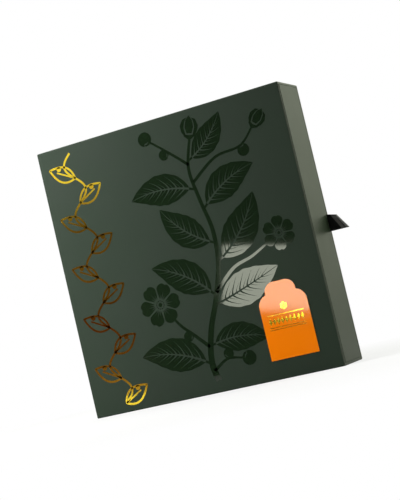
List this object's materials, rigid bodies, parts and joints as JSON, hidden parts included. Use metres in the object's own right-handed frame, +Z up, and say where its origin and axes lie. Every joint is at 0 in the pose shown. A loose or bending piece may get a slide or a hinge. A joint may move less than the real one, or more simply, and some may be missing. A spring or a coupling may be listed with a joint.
{
  "type": "tea calendar box",
  "caption": "Closed box for a countdown calendar of tea sachets: a board slipcase with a shut tray, a ribbon pull at one end and a shaped plaque on the front.",
  "frame": {"origin": "middle of the foot, the outer face of the slipcase's lower wall", "axes": "+X along the width towards the mouth and the ribbon, -Y out of the front panel, +Z up"},
  "size_m": [0.2925, 0.0585, 0.28],
  "materials": {
    "wrap_paper": "matte dark green paper over board",
    "tray_paper": "matte dark green paper over board",
    "ribbon": "black woven satin",
    "plaque": "glossy orange coated card"
  },
  "bodies": {
    "root": {"sleeve": "wrap_paper", "tray": "tray_paper", "ribbon_pull": "ribbon", "label": "plaque"}
  },
  "joints": []
}
